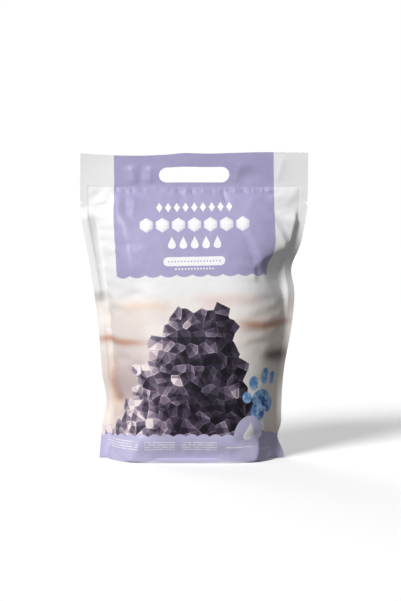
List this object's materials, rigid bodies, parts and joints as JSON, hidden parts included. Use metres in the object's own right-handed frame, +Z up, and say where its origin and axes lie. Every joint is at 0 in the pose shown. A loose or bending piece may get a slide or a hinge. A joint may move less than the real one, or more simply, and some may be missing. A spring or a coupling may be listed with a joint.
{
  "type": "stand-up pouch of cat litter",
  "caption": "Filled and sealed stand-up film pouch with a flat top seal, a punched carrying slot, side seals with tear notches and a gusseted foot.",
  "frame": {"origin": "middle of the base, on the floor that the pouch stands on", "axes": "+Z up to the top seal, +X across the pouch to its right side seal, -Y towards the printed front"},
  "size_m": [0.285, 0.116, 0.384],
  "materials": {
    "printed_film": "satin laminated film, white with lilac printed fields"
  },
  "bodies": {
    "root": {"litter_bag": "printed_film"}
  },
  "joints": []
}
